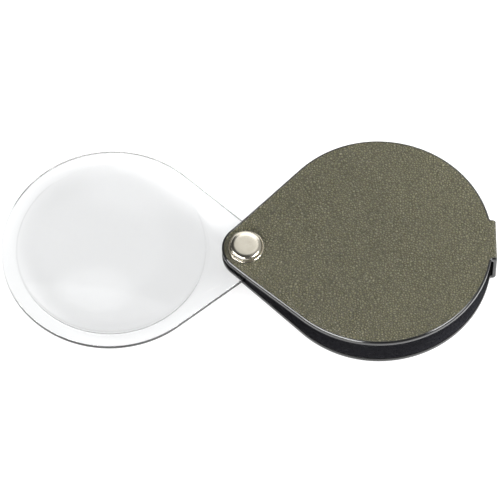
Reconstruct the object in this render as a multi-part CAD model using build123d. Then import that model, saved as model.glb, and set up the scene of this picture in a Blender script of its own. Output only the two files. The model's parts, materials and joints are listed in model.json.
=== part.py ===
from build123d import *
import os

# Folding pocket magnifier: a clear one-piece lens that turns on a rivet, between the two leaves of a leather
# case.
#
# Frame: the back of the case lies on z = 0 and +Z points up, through the front leaf. The origin is in the middle
# of the back leaf's flat part, on the long axis. +X points from the rivet to the spine. Millimetres.
# The rest pose has the lens swung out of the case, almost straight on from it.

# ---- driving dimensions ----

# Case, in plan: a round end and a small tip, joined by tangent lines.
CASE_RADIUS = 36.15  # round end
CASE_TIP_RADIUS = 8.4
PIVOT_TO_TIP = 0.75  # rivet axis to the centre of the tip's rounding
PIVOT_TO_CASE = 41.8  # rivet axis to the centre of the round end
PIVOT_TO_ORIGIN = 64.0

# One leaf, from the inside out.
LINING = 0.30
BOARD = 0.95
LEATHER = 0.65
LEAF = LINING + BOARD + LEATHER
BOARD_INSET = 0.4  # the board stops short of the edge of leather and lining

# Gap between the leaves, measured from the middle plane to the lining.
GAP_AT_RIVET = 1.45
GAP_AT_BODY = 4.70
BEND_START = 7.5  # distance from the rivet where a leaf bends away from the lens
BEND_END = 42.0  # distance from the rivet where it runs level again
BEND_START_RADIUS = 43.0
BEND_END_RADIUS = 290.0

# Spine, the narrow fold that joins the leaves at the round end.
SPINE_WIDTH = 14.2
SPINE_STRIP = 0.25  # card that keeps the fold flat
SPINE_CLEARANCE = 0.25  # between the lens's far edge and the lining of the spine
SPINE_CORNER = 0.8  # rounding of the leather where it turns down and up again

# Lens, moulded in one piece: a plate with a bore and a biconvex disc.
LENS_RADIUS = 34.9  # round end of the plate
LENS_TIP_RADIUS = 7.4  # eye about the rivet
PIVOT_TO_LENS = 42.8
PLATE = 2.1
PLATE_EDGE_ROUND = 0.4
DISC_RADIUS = 30.0  # the magnifying part
DISC_STEP = 0.15  # straight step from the plate up to the disc's rim
DISC_CROWN = 2.25  # height of the crown above that step, on each side
REST_ANGLE = 177.6  # from the case's long axis to the lens's, in the rest pose

# Raised marks, moulded on the plate between the disc and the edge.
MARK_RADIUS = 0.5
MARK_HEIGHT = 0.15
MARK_INSET = 3.4  # in from the plate's straight edge
MARK_PITCH = 1.9
FAR_MARKS = 14
FAR_MARKS_START = 19.5  # from the rivet, along the edge, to the first mark
NEAR_MARKS = 5
NEAR_MARKS_START = 10.5

# Rivet: a post pressed into a socket, each with a flange under a crimped cap.
TUBE_RADIUS = 2.5
POST_RADIUS = 1.6
POST_LENGTH = 6.3
BORE_CLEARANCE = 0.06  # lens on rivet tube, on the radius
FLANGE_RADIUS = 5.0
FLANGE = 0.35
POST_GAP = 0.15  # left between the socket's mouth and the post's flange
CAP_RADIUS = 5.7
CAP_SHEET = 0.3
CAP_RIM = 1.0  # height of the cap's rolled rim
CAP_CROWN = 2.3  # height of the cap's middle
CAP_LIP = 0.45  # how far the rim turns in under the flange
WASHER_RADIUS = 5.4
WASHER_PLAY = 0.03  # between each washer and the lens

# ---- derived sizes ----

MIDDLE = GAP_AT_BODY + LEAF  # height of the middle plane
LEAF_AT_RIVET = GAP_AT_RIVET + LEAF  # a leaf's outer face at the rivet, from the middle plane
SPINE_INNER = PIVOT_TO_LENS + LENS_RADIUS + SPINE_CLEARANCE
SPINE_LINING = SPINE_INNER + LINING
SPINE_CARD = SPINE_LINING + SPINE_STRIP
SPINE_OUTER = SPINE_CARD + LEATHER
BEYOND = SPINE_OUTER + 10.0  # a distance from the rivet beyond the whole case
UPPER = (Align.CENTER, Align.CENTER, Align.MIN)
LOWER = (Align.CENTER, Align.CENTER, Align.MAX)

# Every piece is drawn with the rivet's axis and the middle plane at zero, and moved to its place at the end.
PLACE = Pos(-PIVOT_TO_ORIGIN, 0, MIDDLE)


def teardrop(tip_centre, tip_radius, centre, radius):
    """Plan of a small circle near the rivet, a larger circle, and their tangent lines."""
    tip = Pos(tip_centre, 0) * Circle(tip_radius)
    end = Pos(centre, 0) * Circle(radius)
    return make_hull(tip.edges() + end.edges())


def tongue(end, inset=0):
    """Plan of the narrow strip that runs on past the round end, as far as `end`."""
    strip = Rectangle(end - PIVOT_TO_CASE, SPINE_WIDTH - 2 * inset, align=(Align.MIN, Align.CENTER))
    return Pos(PIVOT_TO_CASE, 0) * strip


def case_plan(end, inset=0):
    """Plan of a leaf as far as `end`, with every edge `inset` from the edge of the leather."""
    drop = teardrop(PIVOT_TO_TIP, CASE_TIP_RADIUS - inset, PIVOT_TO_CASE, CASE_RADIUS - inset)
    return drop + tongue(end, inset)


def with_mirror(piece):
    """A piece above the middle plane and its mirror image below."""
    return [piece, mirror(piece, Plane.XY)]


# ---- the case ----


def leaf_line(depth):
    """Side view of the surface that lies `depth` outside a leaf's lining face."""
    return FilletPolyline(
        (0, GAP_AT_RIVET + depth),
        (BEND_START, GAP_AT_RIVET + depth),
        (BEND_END, GAP_AT_BODY + depth),
        (BEYOND, GAP_AT_BODY + depth),
        radius=[BEND_START_RADIUS, BEND_END_RADIUS],
    )


def leaf_layer(plan, inner, outer):
    """One layer of the front leaf: dished about the rivet, cut to `plan`, with a hole for the rivet."""
    low = leaf_line(inner)
    high = leaf_line(outer)
    side = make_face([low, Line(low @ 1, high @ 1), high, Line(high @ 0, low @ 0)])
    dish = revolve(Plane.XZ * side, Axis.Z)
    return dish & extrude(plan, MIDDLE + 1) - Cylinder(TUBE_RADIUS, 4 * MIDDLE)


def spine_wall(inner, outer, half_height, inset=0):
    """Upright strip of the spine, between two distances from the rivet."""
    thickness = outer - inner
    return Pos(inner + thickness / 2, 0, 0) * Box(thickness, SPINE_WIDTH - 2 * inset, 2 * half_height)


def make_outer_leather():
    """One blank of leather, folded: front leaf, spine and back leaf."""
    leaf = leaf_layer(case_plan(SPINE_OUTER), LINING + BOARD, LEAF)
    blank = spine_wall(SPINE_CARD, SPINE_OUTER, MIDDLE) + with_mirror(leaf)
    turns = blank.edges().filter_by(Axis.Y).group_by(Axis.X)[-1]
    return fillet(turns, SPINE_CORNER)


def make_board():
    """Stiffener of the front leaf, as far as the card of the spine."""
    return leaf_layer(case_plan(SPINE_LINING, BOARD_INSET), LINING, LINING + BOARD)


def make_inner_lining():
    """One strip of lining: front leaf, spine and back leaf."""
    leaf = leaf_layer(case_plan(SPINE_LINING), 0, LINING)
    return spine_wall(SPINE_INNER, SPINE_LINING, GAP_AT_BODY + LINING) + with_mirror(leaf)


def make_spine_strip():
    """Card between the lining and the leather of the spine."""
    return spine_wall(SPINE_LINING, SPINE_CARD, MIDDLE - LEATHER, BOARD_INSET)


# ---- the lens ----


def make_marks(side, count, start):
    """A row of low round marks beside one straight edge of the plate: `side` is 1 or -1 across the lens."""
    lean = (LENS_RADIUS - LENS_TIP_RADIUS) / PIVOT_TO_LENS
    run = (1 - lean**2) ** 0.5
    along = Vector(run, side * lean)
    across = Vector(-lean, side * run)
    mark = Pos(0, 0, PLATE / 2) * Cone(MARK_RADIUS, MARK_RADIUS / 2, MARK_HEIGHT, align=UPPER)
    first = across * (LENS_TIP_RADIUS - MARK_INSET) + along * start
    places = [first + along * MARK_PITCH * i for i in range(count)]
    return [Pos(place) * mark for place in places]


def make_lens():
    """Plate, disc and marks in one moulding, turned to the rest pose."""
    plan = teardrop(0, LENS_TIP_RADIUS, PIVOT_TO_LENS, LENS_RADIUS)
    plate = extrude(plan, PLATE / 2, both=True)
    plate = fillet(plate.edges().filter_by(Axis.Z, reverse=True), PLATE_EDGE_ROUND)
    rim = (DISC_RADIUS, PLATE / 2 + DISC_STEP)
    crown = (0, PLATE / 2 + DISC_STEP + DISC_CROWN)
    side = make_face(
        [
            Polyline(crown, (0, 0), (DISC_RADIUS, 0), rim),
            TangentArc(crown, rim, tangent=(1, 0)),
        ]
    )
    dome = Pos(PIVOT_TO_LENS, 0, 0) * revolve(Plane.XZ * side, Axis.Z)
    marks = make_marks(1, NEAR_MARKS, NEAR_MARKS_START) + make_marks(-1, FAR_MARKS, FAR_MARKS_START)
    bore = Cylinder(TUBE_RADIUS + BORE_CLEARANCE, 2 * PLATE)
    lens = plate + with_mirror(dome) + marks - bore
    return Rotation(0, 0, REST_ANGLE) * lens


# ---- the rivet ----


def make_washer():
    """Friction washer between the front leaf and the lens."""
    low = PLATE / 2 + WASHER_PLAY
    height = GAP_AT_RIVET - low
    ring = Cylinder(WASHER_RADIUS, height, align=UPPER) - Cylinder(TUBE_RADIUS, height, align=UPPER)
    return Pos(0, 0, low) * ring


def make_cap():
    """Thin domed cap on the front leaf, its rim turned in under the flange of the post."""
    shoulder = CAP_RADIUS - CAP_RIM / 2
    outside = make_face(
        [
            Polyline((0, CAP_CROWN), (0, 0), (shoulder, 0)),
            ThreePointArc((shoulder, 0), (CAP_RADIUS, CAP_RIM / 2), (shoulder, CAP_RIM)),
            TangentArc((0, CAP_CROWN), (shoulder, CAP_RIM), tangent=(1, 0)),
        ]
    )
    inner_crown = CAP_CROWN - CAP_SHEET
    flange_top = (FLANGE_RADIUS, CAP_RIM - CAP_SHEET)
    flange_room = make_face(
        [
            Polyline((0, inner_crown), (0, CAP_SHEET), (FLANGE_RADIUS, CAP_SHEET), flange_top),
            TangentArc((0, inner_crown), flange_top, tangent=(1, 0)),
        ]
    )
    mouth = Cylinder(shoulder - CAP_LIP, CAP_RIM, align=UPPER)
    cap = revolve(Plane.XZ * outside, Axis.Z) - revolve(Plane.XZ * flange_room, Axis.Z) - mouth
    return Pos(0, 0, LEAF_AT_RIVET) * cap


def make_flange():
    """Flange on the front leaf, held down by the lip of the cap."""
    return Pos(0, 0, LEAF_AT_RIVET + CAP_SHEET) * Cylinder(FLANGE_RADIUS, FLANGE, align=UPPER)


def make_post():
    """Post that hangs from the front flange into the socket."""
    shank = Pos(0, 0, LEAF_AT_RIVET + CAP_SHEET) * Cylinder(POST_RADIUS, POST_LENGTH, align=LOWER)
    return make_flange() + shank


def make_socket():
    """Tube that stands on the back flange, open at the top, on which the lens turns."""
    flange = mirror(make_flange(), Plane.XY)
    foot = Pos(0, 0, -LEAF_AT_RIVET - CAP_SHEET)
    height = 2 * (LEAF_AT_RIVET + CAP_SHEET) - POST_GAP
    tube = foot * Cylinder(TUBE_RADIUS, height, align=UPPER)
    bore = foot * Pos(0, 0, -FLANGE) * Cylinder(POST_RADIUS, height + FLANGE, align=UPPER)
    return flange + tube - bore


def main():
    """Write every piece in its place."""
    board = make_board()
    washer = make_washer()
    cap = make_cap()
    pieces = {
        "outer_leather": make_outer_leather(),
        "front_board": board,
        "back_board": mirror(board, Plane.XY),
        "inner_lining": make_inner_lining(),
        "spine_strip": make_spine_strip(),
        "lens": make_lens(),
        "front_washer": washer,
        "back_washer": mirror(washer, Plane.XY),
        "rivet_post": make_post(),
        "rivet_socket": make_socket(),
        "front_rivet_cap": cap,
        "back_rivet_cap": mirror(cap, Plane.XY),
    }
    os.makedirs("parts", exist_ok=True)
    for name, piece in pieces.items():
        placed = PLACE * piece
        placed.label = name
        export_step(placed, f"parts/{name}.step")


main()
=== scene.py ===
import json
from math import acos, atan, atan2, cos, pi, radians, sin, sqrt, tan

import bmesh
import bpy
import numpy as np
from mathutils import Matrix, Vector


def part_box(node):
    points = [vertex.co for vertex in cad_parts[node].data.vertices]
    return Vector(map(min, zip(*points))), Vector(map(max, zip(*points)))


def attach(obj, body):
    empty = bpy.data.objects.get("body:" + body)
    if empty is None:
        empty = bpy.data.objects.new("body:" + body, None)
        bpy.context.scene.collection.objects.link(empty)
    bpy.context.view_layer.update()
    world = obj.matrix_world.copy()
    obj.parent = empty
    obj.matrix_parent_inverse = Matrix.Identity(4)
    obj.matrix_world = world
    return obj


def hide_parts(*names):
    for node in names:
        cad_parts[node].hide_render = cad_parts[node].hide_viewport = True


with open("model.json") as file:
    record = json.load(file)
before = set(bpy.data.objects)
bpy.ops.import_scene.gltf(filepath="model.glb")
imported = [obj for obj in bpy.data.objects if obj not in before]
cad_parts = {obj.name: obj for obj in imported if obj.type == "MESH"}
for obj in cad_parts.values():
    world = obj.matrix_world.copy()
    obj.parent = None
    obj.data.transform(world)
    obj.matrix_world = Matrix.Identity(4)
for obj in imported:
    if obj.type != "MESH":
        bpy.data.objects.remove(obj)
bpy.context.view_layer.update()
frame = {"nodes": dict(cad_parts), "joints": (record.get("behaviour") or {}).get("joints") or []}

# Folding pocket magnifier: a clear lens swung out of a leather case of two stiff leaves.
#
# Lengths are in millimetres, and add_mesh turns them into metres. Pieces are drawn about the rivet: u runs
# from the rivet to the spine, v across the case, and w is the height above the middle plane, which lies
# between the leaves.

# ---- sizes ----

MM = 0.001
PIVOT = Vector(frame["joints"][0]["pos_m"]) / MM
LEATHER_LOW, LEATHER_HIGH = (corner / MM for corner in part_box("outer_leather"))

PIVOT_TO_CASE = 41.8  # rivet to the centre of the round end
CASE_RADIUS = LEATHER_HIGH.y
PIVOT_TO_TIP = 0.75  # rivet to the centre of the tip's rounding
TIP_RADIUS = PIVOT.x + PIVOT_TO_TIP - LEATHER_LOW.x
SPINE_OUTER = LEATHER_HIGH.x - PIVOT.x
MIDDLE = PIVOT.z
HALF_SPINE = 7.1
NECK_ROUND = 0.8  # hollow corner where the spine leaves the round end

LEAF = 1.9  # thickness of one leaf: leather, board and lining
LEATHER = 0.65
LINING = 0.30
SPINE = 1.2  # thickness of the spine
GAP_AT_RIVET = 1.45
GAP_AT_BODY = MIDDLE - LEAF
BEND_START = 7.5
BEND_END = 42.0
BEND_START_RADIUS = 43.0
BEND_END_RADIUS = 290.0
HOLE_RADIUS = 2.6  # in each leaf, for the rivet
DIMPLE = 0.18  # how deep the rivet cap presses the leather down
DIMPLE_START = 5.6
DIMPLE_END = 8.8

OUTER_FOLD = 1.0  # rounding of the spine, outside
INNER_FOLD = 0.6  # and inside
DRESSING = 0.03  # how far the edge dressing stands above the leather

LENS_RADIUS = 34.9
LENS_TIP_RADIUS = 7.4
PIVOT_TO_LENS = 42.8
PLATE = 2.1
PLATE_EDGE_ROUND = 0.4
DISC_RADIUS = 30.0
DISC_FOOT = 30.12  # where the disc's rounded step meets the plate
DISC_STEP = 0.15
DISC_CROWN = 2.25
BORE_RADIUS = 2.56
REST_ANGLE = radians(177.6)

MARK_RADIUS = 0.5
MARK_HEIGHT = 0.15
MARK_INSET = 3.4
MARK_PITCH = 1.9
FAR_MARKS, FAR_MARKS_START = 14, 19.5
NEAR_MARKS, NEAR_MARKS_START = 5, 10.5

CAP_RADIUS = 5.7
DOME_RADIUS = 5.28
DOME_FOOT = 0.5
CAP_CROWN = 2.3
CAP_SKIRT = 0.2

FLOOR_HALF = 6.0  # in metres

CAMERA_ELEVATION = 62.345  # degrees above the floor
CAMERA_ROLL = -1.03  # degrees
CAMERA_TURN = 0.3  # degrees about the vertical
CAMERA_DISTANCE = 1.483  # in metres
CAMERA_AIM = Vector((1.24, 0.76, 0))  # from the rivet
CAMERA_LENS = 336.9


# ---- meshes ----


def add_mesh(name, patches, body, material, replaced=(), crease=radians(35)):
    """One piece from grids of points: the grids are joined where they meet, smoothed, and given to a body."""
    points = []
    faces = []
    total = 0
    for patch in patches:
        rows, columns = patch.shape[:2]
        index = np.arange(rows * columns).reshape(rows, columns) + total
        corners = (index[:-1, :-1], index[:-1, 1:], index[1:, 1:], index[1:, :-1])
        faces.extend(np.stack(corners, -1).reshape(-1, 4).tolist())
        points.append(patch.reshape(-1, 3))
        total += rows * columns
    places = (np.concatenate(points) + (PIVOT.x, 0, MIDDLE)) * MM
    mesh = bpy.data.meshes.new(name)
    mesh.from_pydata(places.tolist(), [], faces)
    shape = bmesh.new()
    shape.from_mesh(mesh)
    bmesh.ops.remove_doubles(shape, verts=shape.verts, dist=0.002 * MM)
    bmesh.ops.recalc_face_normals(shape, faces=shape.faces)
    shape.to_mesh(mesh)
    shape.free()
    mesh.shade_smooth()
    mesh.set_sharp_from_angle(angle=crease)
    mesh.materials.append(material)
    piece = bpy.data.objects.new(name, mesh)
    bpy.context.scene.collection.objects.link(piece)
    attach(piece, body)
    if replaced:
        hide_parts(*replaced)
    return piece


def ease(value, start, end):
    """0 up to `start`, 1 from `end` on, and smooth between them."""
    t = np.clip((value - start) / (end - start), 0, 1)
    return t * t * (3 - 2 * t)


def mirrored(patches):
    """The same grids below the middle plane."""
    return [patch * (1, 1, -1) for patch in patches]


def revolved(profile, segments=144):
    """Grid of a profile of (radius, height), turned about the rivet."""
    angles = np.linspace(0, 2 * pi, segments + 1)
    return np.array([[(r * cos(a), r * sin(a), w) for a in angles] for r, w in profile])


def arc(centre, radius, start, end, count, outward=1):
    """Points of an arc in plan, and their outward normals."""
    angles = np.linspace(start, end, count)
    directions = np.stack([np.cos(angles), np.sin(angles)], 1)
    return np.array(centre) + radius * directions, outward * directions


def straight(start, end, normal, count):
    """Points of a straight run in plan, and their outward normals."""
    return np.linspace(start, end, count), np.tile(normal, (count, 1))


def joined(*runs):
    """Runs one after another, without the doubled points where they meet."""
    points = np.concatenate([runs[0][0]] + [run[0][1:] for run in runs[1:]])
    normals = np.concatenate([runs[0][1]] + [run[1][1:] for run in runs[1:]])
    return points, normals


def with_other_side(run):
    """A run that ends on the long axis, carried on along its mirror image."""
    points, normals = run
    flip = np.array((1, -1))
    return joined(run, (points[::-1] * flip, normals[::-1] * flip))


def teardrop_side(radius, distance, tip_radius, tip_distance, start, round_end, line, tip):
    """Half of a teardrop's edge, from angle `start` on the round end to the middle of the tip."""
    tangent = acos((tip_radius - radius) / (distance - tip_distance))
    normal = np.array((cos(tangent), -sin(tangent)))
    centre = np.array((distance, 0))
    tip_centre = np.array((tip_distance, 0))
    return joined(
        arc(centre, radius, start, -tangent, round_end),
        straight(centre + radius * normal, tip_centre + tip_radius * normal, normal, line),
        arc(tip_centre, tip_radius, -tangent, -pi, tip),
    )


# ---- the leaves and the spine ----


def case_outline(end):
    """Edge of one leaf in plan, from the fold at u = `end`, round the tip, and back to the fold."""
    reach = CASE_RADIUS + NECK_ROUND
    side = HALF_SPINE + NECK_ROUND
    neck = (PIVOT_TO_CASE + sqrt(reach**2 - side**2), -side)
    turn = atan2(side, PIVOT_TO_CASE - neck[0])
    return with_other_side(
        joined(
            straight((end, -HALF_SPINE), (neck[0], -HALF_SPINE), (0, -1), 4),
            arc(neck, NECK_ROUND, pi / 2, turn, 8, outward=-1),
            teardrop_side(CASE_RADIUS, PIVOT_TO_CASE, TIP_RADIUS, PIVOT_TO_TIP, turn - pi, 110, 44, 26),
        )
    )


def leaf_gap(distance):
    """Height of the lining's face above the middle plane, at a distance from the rivet."""
    slope = (GAP_AT_BODY - GAP_AT_RIVET) / (BEND_END - BEND_START)
    angle = atan(slope)
    first = BEND_START_RADIUS * tan(angle / 2)
    second = BEND_END_RADIUS * tan(angle / 2)
    past_first = np.clip(distance - BEND_START + first, 0, BEND_START_RADIUS * sin(angle))
    low = GAP_AT_RIVET + BEND_START_RADIUS - np.sqrt(BEND_START_RADIUS**2 - past_first**2)
    before_second = np.clip(BEND_END + second - distance, 0, BEND_END_RADIUS * sin(angle))
    high = GAP_AT_BODY - BEND_END_RADIUS + np.sqrt(BEND_END_RADIUS**2 - before_second**2)
    line = GAP_AT_RIVET + slope * (distance - BEND_START)
    near = distance < BEND_START + first * cos(angle)
    far = distance > BEND_END - second * cos(angle)
    return np.select([near, far], [low, high], line)


def folded(plan, depth, level, wall, radius):
    """Places points of a flat sheet on the case. `level` is the sheet's height over the round end, `wall` its
    distance from the rivet at the spine, `radius` its fold, and `depth` the depth of the points under it."""
    u, v = plan[..., 0], plan[..., 1]
    start = wall - radius
    turn = np.clip((u - start) / radius, 0, pi / 2)
    down = np.maximum(u - start - radius * pi / 2, 0)
    bend = radius - depth
    over = leaf_gap(np.hypot(u, v)) - GAP_AT_BODY
    x = np.where(u < start, u, start + bend * np.sin(turn))
    w = np.where(u < start, level + over - depth, level - radius + bend * np.cos(turn) - down)
    return np.stack([x, v, w], -1)


def path_end(level, wall, radius):
    """How far along the flat sheet the middle of the spine is."""
    return wall - radius + radius * pi / 2 + level - radius


def place_leather(plan, depth):
    """The leather's outer face, pressed in round the rivet."""
    place = folded(plan, depth, MIDDLE - DRESSING, SPINE_OUTER - DRESSING, OUTER_FOLD)
    press = DIMPLE * (1 - ease(np.hypot(plan[..., 0], plan[..., 1]), DIMPLE_START, DIMPLE_END))
    place[..., 2] -= press * (1 - depth / LEATHER)
    return place


def place_lining(plan, depth):
    """The lining's bare face, with its thickness outside it."""
    return folded(plan, -depth, GAP_AT_BODY, SPINE_OUTER - SPINE, INNER_FOLD)


def place_edge(plan, share):
    """A point of the cut edge: `share` is 0 at the outer face and 1 at the lining's face."""
    outer = folded(plan, 0, MIDDLE, SPINE_OUTER, OUTER_FOLD)
    start = SPINE_OUTER - SPINE - INNER_FOLD
    corner = SPINE_OUTER - OUTER_FOLD + OUTER_FOLD * pi / 2 + MIDDLE - OUTER_FOLD - GAP_AT_BODY + INNER_FOLD
    inner_plan = plan.copy()
    inner_plan[..., 0] = np.interp(
        plan[..., 0],
        (0, start, corner, corner + GAP_AT_BODY),
        (0, start, start + INNER_FOLD * pi / 2, start + INNER_FOLD * pi / 2 + GAP_AT_BODY),
    )
    inner_plan[..., 0] = np.where(plan[..., 0] < 0, plan[..., 0], inner_plan[..., 0])
    inner = folded(inner_plan, 0, GAP_AT_BODY, SPINE_OUTER - SPINE, INNER_FOLD)
    return outer + share * (inner - outer)


def sheet_patches(section, place, fold_start, fold_end, middle):
    """Front half of a folded sheet: a leaf and half the spine. `section` is the rounding of the cut edge, as
    (inset, depth) from the bare face round to the hidden one."""
    points, normals = case_outline(fold_start)
    patches = [np.array([place(points - inset * normals, depth) for inset, depth in section])]
    across = 27
    rings = 46
    for inset, depth in (section[0], section[-1]):
        edge = points - inset * normals
        fold_line = np.linspace(edge[-1], edge[0], across)
        loop = np.concatenate([edge, fold_line[1:]])
        hole = HOLE_RADIUS * loop / np.linalg.norm(loop, axis=1, keepdims=True)
        shares = np.linspace(0, 1, rings) ** 1.8
        patches.append(np.array([place(hole + share * (loop - hole), depth) for share in shares]))
    patches.append(np.stack([patches[1][0], patches[2][0]]))

    stations = np.concatenate([np.linspace(fold_start, fold_end, 13), np.linspace(fold_end, middle, 5)[1:]])
    face = HALF_SPINE - section[0][0]
    line = np.linspace(-face, face, across)
    edge_v = [HALF_SPINE - inset for inset, _ in section]
    edge_depth = [depth for _, depth in section]
    loop_v = np.concatenate([line, edge_v[1:], line[::-1][1:], -np.array(edge_v[::-1][1:])])
    loop_depth = np.concatenate(
        [
            np.full(across, section[0][1]),
            edge_depth[1:],
            np.full(across - 1, section[-1][1]),
            edge_depth[::-1][1:],
        ]
    )
    rows = [place(np.stack([np.full(loop_v.shape, u), loop_v], -1), loop_depth) for u in stations]
    patches.append(np.array(rows))
    return patches


LEATHER_EDGE = [
    (0.66, 0.0),
    (0.58, 0.01),
    (0.50, 0.05),
    (0.42, 0.12),
    (0.22, 0.32),
    (0.16, 0.42),
    (0.15, 0.56),
    (0.66, LEATHER - DRESSING),
]
LINING_EDGE = [(0.50, 0.0), (0.30, 0.01), (0.20, 0.06), (0.16, 0.14), (0.16, 0.25), (0.50, LINING)]


def make_leather(material):
    """One blank of leather: front leaf, spine and back leaf."""
    start = SPINE_OUTER - DRESSING - OUTER_FOLD
    middle = path_end(MIDDLE - DRESSING, SPINE_OUTER - DRESSING, OUTER_FOLD)
    half = sheet_patches(LEATHER_EDGE, place_leather, start, start + OUTER_FOLD * pi / 2, middle)
    add_mesh("case_leather", half + mirrored(half), "case", material, ["outer_leather"])


def make_lining(material):
    """One strip of black lining, inside both leaves and the spine."""
    start = SPINE_OUTER - SPINE - INNER_FOLD
    middle = path_end(GAP_AT_BODY, SPINE_OUTER - SPINE, INNER_FOLD)
    half = sheet_patches(LINING_EDGE, place_lining, start, start + INNER_FOLD * pi / 2, middle)
    add_mesh("case_lining", half + mirrored(half), "case", material, ["inner_lining"])


# Section of the black dressing on the cut edges, as (inset, share of the thickness): a narrow land on the
# leather, a bevel, the side, and a turn under the lining.
DRESSING_SECTION = [
    (0.68, 0.060),
    (0.61, 0.012),
    (0.56, 0.002),
    (0.50, 0.000),
    (0.46, 0.006),
    (0.42, 0.022),
    (0.06, 0.190),
    (0.02, 0.222),
    (0.00, 0.270),
    (0.00, 0.500),
    (0.01, 0.850),
    (0.05, 0.950),
    (0.14, 1.000),
    (0.28, 1.012),
    (0.36, 1.000),
    (0.45, 0.900),
    (0.62, 0.060),
]


def make_dressing(material):
    """The black dressing painted round the cut edge of the whole folded case."""
    start = SPINE_OUTER - SPINE - INNER_FOLD
    corner = SPINE_OUTER - OUTER_FOLD
    middle = path_end(MIDDLE, SPINE_OUTER, OUTER_FOLD)
    points, normals = case_outline(start)
    half = [np.array([place_edge(points - inset * normals, share) for inset, share in DRESSING_SECTION])]
    stations = np.concatenate(
        [
            np.linspace(start, corner, 5),
            np.linspace(corner, corner + OUTER_FOLD * pi / 2, 11)[1:],
            np.linspace(corner + OUTER_FOLD * pi / 2, middle, 7)[1:],
        ]
    )
    for side in (-1, 1):
        rows = []
        for inset, share in DRESSING_SECTION:
            v = np.full(stations.shape, side * (HALF_SPINE - inset))
            rows.append(place_edge(np.stack([stations, v], -1), share))
        half.append(np.array(rows))
    add_mesh("edge_dressing", half + mirrored(half), "case", material)


# ---- the rivet caps ----


def cap_profile():
    """Half section of a cap, from under its rim, over the flared rim and the dome, to the middle."""
    rim = [(0.0, -CAP_SKIRT), (5.35, -CAP_SKIRT), (5.5, -CAP_SKIRT)]
    for step in range(9):
        angle = -pi / 2 + pi * step / 8
        rim.append((CAP_RADIUS - 0.24 + 0.24 * cos(angle), 0.20 + 0.24 * sin(angle)))
    rim += [(5.42, 0.40), (5.37, 0.38), (5.33, 0.40), (5.30, 0.44)]
    dome = []
    for step in range(33):
        share = cos(pi / 2 * step / 32)
        height = (CAP_CROWN - DOME_FOOT) * sqrt(max(0, 1 - share**6))
        dome.append((DOME_RADIUS * share, DOME_FOOT + height))
    return rim + dome


def make_caps(material):
    """Domed nickel caps on the front and the back leaf."""
    seat = GAP_AT_RIVET + LEAF
    cap = [revolved(cap_profile()) + (0, 0, seat)]
    add_mesh("front_cap", cap, "case", material, ["front_rivet_cap"])
    add_mesh("back_cap", mirrored(cap), "case", material, ["back_rivet_cap"])


# ---- the lens ----


def lens_patch():
    """Plate and disc of the lens in its own axes, as one closed grid."""
    points, normals = with_other_side(
        teardrop_side(LENS_RADIUS, PIVOT_TO_LENS, LENS_TIP_RADIUS, 0, 0, 150, 50, 26)
    )
    centre = np.array((PIVOT_TO_LENS, 0))
    to_edge = points - centre
    directions = to_edge / np.linalg.norm(to_edge, axis=1, keepdims=True)
    face = PLATE / 2
    rim = face + DISC_STEP
    curve = (DISC_RADIUS**2 + DISC_CROWN**2) / (2 * DISC_CROWN)

    def level(plan, height):
        return np.concatenate([plan, np.full((len(plan), 1), height)], 1)

    rows = []
    for radius in np.concatenate([np.linspace(0, 28, 25), (28.8, 29.3, 29.6, 29.72)]):
        height = rim + DISC_CROWN - curve + sqrt(curve**2 - radius**2)
        rows.append(level(centre + radius * directions, height))
    step = [
        (DISC_RADIUS - 0.20, rim - 0.01),
        (DISC_RADIUS - 0.12, rim - 0.04),
        (DISC_RADIUS - 0.05, face + 0.07),
        (DISC_RADIUS + 0.02, face + 0.03),
        (DISC_FOOT, face),
    ]
    for radius, height in step:
        rows.append(level(centre + radius * directions, height))
    flat = points - 0.9 * normals
    inner = centre + DISC_FOOT * directions
    for share in (0.15, 0.4, 0.7, 1.0):
        rows.append(level(inner + share * (flat - inner), face))
    rows.append(level(points - 0.46 * normals, face))
    for turn in np.linspace(0, pi / 2, 7):
        inset = PLATE_EDGE_ROUND * (1 - sin(turn))
        rows.append(level(points - inset * normals, face - PLATE_EDGE_ROUND * (1 - cos(turn))))
    top = np.array(rows)
    return np.concatenate([top, top[::-1] * (1, 1, -1)])


def turned(patch):
    """From the lens's own axes to its rest pose."""
    c, s = cos(REST_ANGLE), sin(REST_ANGLE)
    return patch @ np.array(((c, s, 0), (-s, c, 0), (0, 0, 1)))


def mark_patches(side, count, start):
    """Low round marks in a row beside one straight edge of the plate."""
    lean = (LENS_RADIUS - LENS_TIP_RADIUS) / PIVOT_TO_LENS
    run = sqrt(1 - lean**2)
    along = np.array((run, side * lean))
    across = np.array((-lean, side * run))
    top = PLATE / 2 + MARK_HEIGHT
    foot = PLATE / 2 - 0.3
    profile = [(0, foot), (MARK_RADIUS, foot), (MARK_RADIUS, PLATE / 2), (0.36, top - 0.02)]
    profile += [(0.24, top), (0, top)]
    mark = revolved(profile, 20)
    first = across * (LENS_TIP_RADIUS - MARK_INSET)
    places = [first + along * (start + MARK_PITCH * i) for i in range(count)]
    return [mark + (*place, 0) for place in places]


def combine(piece, patches, operation):
    """Joins grids to a piece's mesh, or cuts them from it."""
    tool = add_mesh("tool", patches, "lens", piece.data.materials[0])
    modifier = piece.modifiers.new("combine", "BOOLEAN")
    modifier.operation = operation
    modifier.solver = "EXACT"
    modifier.object = tool
    bpy.context.view_layer.update()
    shape = bpy.data.meshes.new_from_object(piece.evaluated_get(bpy.context.evaluated_depsgraph_get()))
    piece.modifiers.clear()
    piece.data = shape
    bpy.data.objects.remove(tool)


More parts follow.
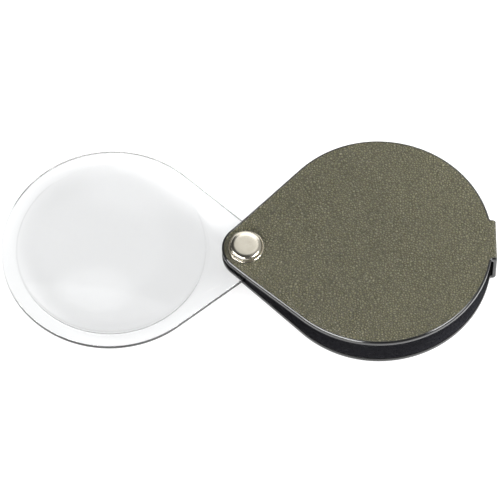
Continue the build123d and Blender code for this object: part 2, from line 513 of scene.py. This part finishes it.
def make_lens(material):
    """The lens: one clear moulding with a bore for the rivet and low marks."""
    piece = add_mesh("lens_moulding", [turned(lens_patch())], "lens", material, ["lens"])
    marks = mark_patches(1, NEAR_MARKS, NEAR_MARKS_START) + mark_patches(-1, FAR_MARKS, FAR_MARKS_START)
    combine(piece, [turned(mark) for mark in marks], "UNION")
    half = PLATE
    bore = revolved([(0, -half), (BORE_RADIUS, -half), (BORE_RADIUS, half), (0, half)], 96)
    combine(piece, [bore], "DIFFERENCE")
    piece.data.shade_smooth()
    piece.data.set_sharp_from_angle(angle=radians(35))


# ---- materials ----


def node(tree, kind, inputs=None, **settings):
    """A shader node with its settings, and with values or other nodes' outputs on its inputs."""
    made = tree.nodes.new("ShaderNode" + kind)
    for key, value in settings.items():
        setattr(made, key, value)
    for key, value in (inputs or {}).items():
        if isinstance(value, bpy.types.NodeSocket):
            tree.links.new(value, made.inputs[key])
        else:
            made.inputs[key].default_value = value
    return made


def new_material(name):
    """An empty node material: its tree and its surface shader."""
    material = bpy.data.materials.new(name)
    material.use_nodes = True
    tree = material.node_tree
    return material, tree, tree.nodes["Principled BSDF"]


def set_inputs(tree, shader, values):
    """Puts values or other nodes' outputs on a shader's inputs."""
    for key, value in values.items():
        if isinstance(value, bpy.types.NodeSocket):
            tree.links.new(value, shader.inputs[key])
        else:
            shader.inputs[key].default_value = value


def coordinates(tree):
    """Place on the object, in metres."""
    return node(tree, "TexCoord").outputs["Object"]


def noise_at(tree, place, size, detail=3.0, roughness=0.5):
    """Noise whose features are `size` millimetres across, from 0 to 1."""
    inputs = {"Vector": place, "Scale": 1 / (size * MM), "Detail": detail, "Roughness": roughness}
    return node(tree, "TexNoise", inputs).outputs["Fac"]


def cells_at(tree, place, size, feature="F1"):
    """Distance inside cells that are `size` millimetres across."""
    inputs = {"Vector": place, "Scale": 1 / (size * MM)}
    return node(tree, "TexVoronoi", inputs, feature=feature).outputs["Distance"]


def scaled(tree, value, low, high, to_low, to_high):
    """Maps a value from one range to another."""
    inputs = {"Value": value, "From Min": low, "From Max": high, "To Min": to_low, "To Max": to_high}
    return node(tree, "MapRange", inputs).outputs["Result"]


def blended(tree, share, first, second):
    """A colour between two others."""
    made = node(tree, "Mix", data_type="RGBA")
    for socket, value in ((made.inputs[0], share), (made.inputs[6], first), (made.inputs[7], second)):
        if isinstance(value, bpy.types.NodeSocket):
            tree.links.new(value, socket)
        else:
            socket.default_value = value
    return made.outputs[2]


def summed(tree, first, second, weight):
    """first + second * weight."""
    return node(tree, "Math", {0: second, 1: weight, 2: first}, operation="MULTIPLY_ADD").outputs[0]


def bump(tree, height, depth, strength=1.0):
    """A bump `depth` millimetres deep."""
    inputs = {"Height": height, "Distance": depth * MM, "Strength": strength}
    return node(tree, "Bump", inputs).outputs["Normal"]


def wandering(tree, place, size, reach):
    """The place, pushed about by soft noise so that cells lose their straight sides."""
    push = node(tree, "TexNoise", {"Vector": place, "Scale": 1 / (size * MM), "Detail": 2.0}).outputs["Color"]
    centred = node(tree, "VectorMath", {0: push, 1: (0.5, 0.5, 0.5)}, operation="SUBTRACT").outputs[0]
    inputs = {0: centred, 1: (reach * MM,) * 3, 2: place}
    return node(tree, "VectorMath", inputs, operation="MULTIPLY_ADD").outputs[0]


def leather_material():
    """Olive leather with a fine pebble grain; its colour holds painted highlight specks on the pebbles and
    painted shade in the creases.
    """
    material, tree, shader = new_material("olive_leather")
    place = coordinates(tree)
    loose = wandering(tree, place, 1.0, 0.5)
    pebbles = cells_at(tree, loose, 0.80)
    creases = cells_at(tree, loose, 0.80, "DISTANCE_TO_EDGE")
    pores = noise_at(tree, place, 0.30, 2.0)
    clouds = noise_at(tree, place, 22.0, 3.0)
    height = summed(tree, scaled(tree, creases, 0, 0.35, 0, 1), pebbles, -0.8)
    height = summed(tree, height, pores, 1.2)
    olive = blended(
        tree, scaled(tree, clouds, 0.3, 0.7, 0, 1), (0.080, 0.075, 0.038, 1), (0.097, 0.091, 0.047, 1)
    )
    # Painted highlight: light yellow-grey specks on the high spots of the pore noise stand in for glints of
    # light on the grain.
    olive_with_painted_glints = blended(tree, scaled(tree, pores, 0.50, 0.72, 0, 0.9), olive, (0.235, 0.229, 0.176, 1))
    # Painted shade: the colour darkens towards the cell edges, as shade falling in the grain's creases.
    crease_shade = scaled(tree, creases, 0.0, 0.28, 1.0, 0)
    colour = blended(tree, crease_shade, olive_with_painted_glints, (0.024, 0.022, 0.012, 1))
    set_inputs(
        tree,
        shader,
        {
            "Base Color": colour,
            "Roughness": scaled(tree, pores, 0.3, 0.7, 0.40, 0.26),
            "Normal": bump(tree, height, 0.40, 1.0),
            "Specular IOR Level": 0.5,
        },
    )
    return material


def lining_material():
    """Black pebbled lining."""
    material, tree, shader = new_material("black_lining")
    place = coordinates(tree)
    loose = wandering(tree, place, 1.0, 0.4)
    pebbles = cells_at(tree, loose, 0.75)
    pores = noise_at(tree, place, 0.2, 2.0)
    height = summed(tree, pores, pebbles, -1.6)
    share = scaled(tree, pores, 0.3, 0.7, 0, 1)
    colour = blended(tree, share, (0.006, 0.006, 0.008, 1), (0.014, 0.014, 0.017, 1))
    set_inputs(
        tree,
        shader,
        {
            "Base Color": colour,
            "Roughness": scaled(tree, pores, 0.3, 0.7, 0.25, 0.45),
            "Normal": bump(tree, height, 0.12, 0.9),
        },
    )
    return material


def dressing_material():
    """Glossy black paint with the slight ripple of a brushed edge."""
    material, tree, shader = new_material("edge_dressing")
    place = coordinates(tree)
    ripple = noise_at(tree, place, 2.5, 2.0)
    specks = noise_at(tree, place, 0.3, 2.0)
    colour = blended(tree, specks, (0.004, 0.004, 0.004, 1), (0.012, 0.012, 0.012, 1))
    set_inputs(
        tree,
        shader,
        {
            "Base Color": colour,
            "Roughness": scaled(tree, specks, 0.3, 0.7, 0.09, 0.20),
            "Normal": bump(tree, summed(tree, ripple, specks, 0.15), 0.04, 0.5),
        },
    )
    return material


def nickel_material():
    """Satin nickel with fine scratches."""
    material, tree, shader = new_material("nickel")
    place = coordinates(tree)
    stretched = node(tree, "VectorMath", {0: place, 1: (0.25, 1.0, 1.0)}, operation="MULTIPLY").outputs[0]
    scratches = noise_at(tree, stretched, 0.12, 3.0)
    tarnish = noise_at(tree, place, 3.0, 3.0)
    colour = blended(tree, tarnish, (0.58, 0.54, 0.45, 1), (0.70, 0.66, 0.57, 1))
    set_inputs(
        tree,
        shader,
        {
            "Base Color": colour,
            "Metallic": 1.0,
            "Roughness": scaled(tree, scratches, 0.3, 0.7, 0.16, 0.26),
            "Normal": bump(tree, scratches, 0.01, 0.25),
        },
    )
    return material


def acrylic_material():
    """Clear acrylic with faint handling marks in its polish, its base colour greyed as painted shade."""
    material, tree, shader = new_material("clear_acrylic")
    place = coordinates(tree)
    haze = noise_at(tree, place, 6.0, 4.0)
    set_inputs(
        tree,
        shader,
        {
            # Painted shade: the grey base colour darkens the floor seen through the lens, standing in for the
            # lens's shadow on the table.
            "Base Color": (0.866, 0.873, 0.877, 1),
            "Transmission Weight": 1.0,
            "IOR": 1.49,
            "Roughness": scaled(tree, haze, 0.45, 0.8, 0.0, 0.03),
        },
    )
    return material


def board_material():
    """Dense grey board with short fibres."""
    material, tree, shader = new_material("greyboard")
    place = coordinates(tree)
    stretched = node(tree, "VectorMath", {0: place, 1: (0.3, 1.0, 1.0)}, operation="MULTIPLY").outputs[0]
    fibres = noise_at(tree, stretched, 0.3, 4.0)
    colour = blended(tree, fibres, (0.17, 0.16, 0.14, 1), (0.33, 0.32, 0.29, 1))
    values = {"Base Color": colour, "Roughness": 0.9, "Normal": bump(tree, fibres, 0.05, 0.5)}
    set_inputs(tree, shader, values)
    return material


def nylon_material():
    """Black nylon with a fine moulded texture."""
    material, tree, shader = new_material("nylon")
    place = coordinates(tree)
    grit = noise_at(tree, place, 0.15, 2.0)
    colour = blended(tree, grit, (0.012, 0.012, 0.012, 1), (0.030, 0.030, 0.030, 1))
    values = {
        "Base Color": colour,
        "Roughness": scaled(tree, grit, 0.3, 0.7, 0.4, 0.6),
        "Normal": bump(tree, grit, 0.01, 0.5),
    }
    set_inputs(tree, shader, values)
    return material


def dress_nodes(materials):
    """Gives the inner pieces, which stay as the frame has them, their materials."""
    wearers = {
        "front_board": "board",
        "back_board": "board",
        "spine_strip": "board",
        "front_washer": "nylon",
        "back_washer": "nylon",
        "rivet_post": "nickel",
        "rivet_socket": "nickel",
    }
    for name, key in wearers.items():
        slots = frame["nodes"][name].material_slots
        for slot in slots:
            slot.material = materials[key]


# ---- stage ----


def make_floor():
    """A plain white floor, partly glowing so that shadows on it stay faint."""
    material, tree, shader = new_material("floor")
    set_inputs(
        tree,
        shader,
        {
            "Base Color": (0.35, 0.35, 0.35, 1),
            "Roughness": 1.0,
            "Specular IOR Level": 0.0,
            "Emission Color": (1, 1, 1, 1),
            "Emission Strength": 0.72,
        },
    )
    half = FLOOR_HALF
    mesh = bpy.data.meshes.new("floor")
    corners = [(-half, -half, 0), (half, -half, 0), (half, half, 0), (-half, half, 0)]
    mesh.from_pydata(corners, [], [(0, 1, 2, 3)])
    mesh.materials.append(material)
    floor = bpy.data.objects.new("floor", mesh)
    bpy.context.scene.collection.objects.link(floor)


def direction(azimuth, elevation):
    """Unit vector towards a place in the room. Azimuth 0 is behind the object, 90 to its right."""
    a, e = radians(azimuth), radians(elevation)
    return Vector((sin(a) * cos(e), cos(a) * cos(e), sin(e)))


def lobe(tree, ray, towards, inner, outer, low, high):
    """`high` within `inner` degrees of a direction, falling softly to `low` at `outer` degrees."""
    facing = node(tree, "VectorMath", {0: ray, 1: towards}, operation="DOT_PRODUCT").outputs["Value"]
    inputs = {
        "Value": facing,
        "From Min": cos(radians(outer)),
        "From Max": cos(radians(inner)),
        "To Min": low,
        "To Max": high,
    }
    return node(tree, "MapRange", inputs, interpolation_type="SMOOTHERSTEP").outputs["Result"]


def make_world():
    """The room: soft light behind the object and to its right, dark on the viewer's side."""
    world = bpy.data.worlds.new("room")
    bpy.context.scene.world = world
    world.use_nodes = True
    tree = world.node_tree
    ray = node(tree, "TexCoord").outputs["Generated"]
    panel = lobe(tree, ray, direction(6, 63), 19, 27, 0.0, 0.85)
    backlight = lobe(tree, ray, direction(8, 14), 28, 34, 0.0, 1.5)
    side = lobe(tree, ray, direction(75, 35), 15, 60, 0.05, 0.50)
    band = lobe(tree, ray, direction(5, 42), 4, 17, 0.0, 1.8)
    upper = summed(tree, summed(tree, summed(tree, side, backlight, 1.0), panel, 1.0), band, 1.0)
    background = tree.nodes["Background"]
    background.inputs["Color"].default_value = (1, 1, 1, 1)
    tree.links.new(upper, background.inputs["Strength"])


def add_softbox(name, azimuth, elevation, distance, width, height, radiance, glossy=True):
    """A soft rectangular light aimed at the rivet."""
    light = bpy.data.lights.new(name, "AREA")
    light.shape = "RECTANGLE"
    light.size = width
    light.size_y = height
    light.energy = radiance * pi * width * height
    piece = bpy.data.objects.new(name, light)
    bpy.context.scene.collection.objects.link(piece)
    away = direction(azimuth, elevation)
    piece.location = PIVOT * MM + away * distance
    piece.rotation_mode = "QUATERNION"
    piece.rotation_quaternion = away.to_track_quat("Z", "Y")
    piece.visible_camera = False
    piece.visible_glossy = glossy
    piece.visible_transmission = False


def make_lights():
    """Softboxes low in front on both sides, for the glint on the near edge, one behind, and two fills."""
    add_softbox("front_left", 228, 30, 1.3, 1.60, 0.26, 22.0)
    add_softbox("front_right", 119, 29, 1.3, 0.75, 0.30, 22.0)
    add_softbox("key", 5, 42, 1.3, 0.90, 0.14, 6.0, glossy=False)
    add_softbox("top_fill", 20, 80, 1.2, 0.80, 0.80, 1.1, glossy=False)
    add_softbox("right_fill", 72, 38, 0.40, 0.20, 0.20, 20.0, glossy=False)


def make_camera():
    """A long lens, above and in front of the object, turned and rolled very slightly."""
    elevation = radians(CAMERA_ELEVATION)
    roll = radians(CAMERA_ROLL)
    turn = Matrix.Rotation(radians(CAMERA_TURN), 3, "Z")
    distance = CAMERA_DISTANCE
    aim = (PIVOT + CAMERA_AIM) * MM
    ahead = turn @ Vector((0, cos(elevation), -sin(elevation)))
    right = turn @ Vector((1, 0, 0))
    up = turn @ Vector((0, sin(elevation), cos(elevation)))
    across = right * cos(roll) + up * sin(roll)
    upright = up * cos(roll) - right * sin(roll)
    camera = bpy.data.cameras.new("camera")
    camera.lens = CAMERA_LENS
    camera.sensor_width = 36
    camera.clip_end = 20
    viewer = bpy.data.objects.new("camera", camera)
    bpy.context.scene.collection.objects.link(viewer)
    facing = Matrix((across, upright, -ahead)).transposed().to_4x4()
    viewer.matrix_world = Matrix.Translation(aim - ahead * distance) @ facing
    bpy.context.scene.camera = viewer


def main():
    materials = {"board": board_material(), "nylon": nylon_material(), "nickel": nickel_material()}
    make_leather(leather_material())
    make_lining(lining_material())
    make_dressing(dressing_material())
    make_caps(materials["nickel"])
    make_lens(acrylic_material())
    dress_nodes(materials)
    make_floor()
    make_world()
    make_lights()
    make_camera()
    bpy.context.scene.view_settings.view_transform = "Standard"


main()
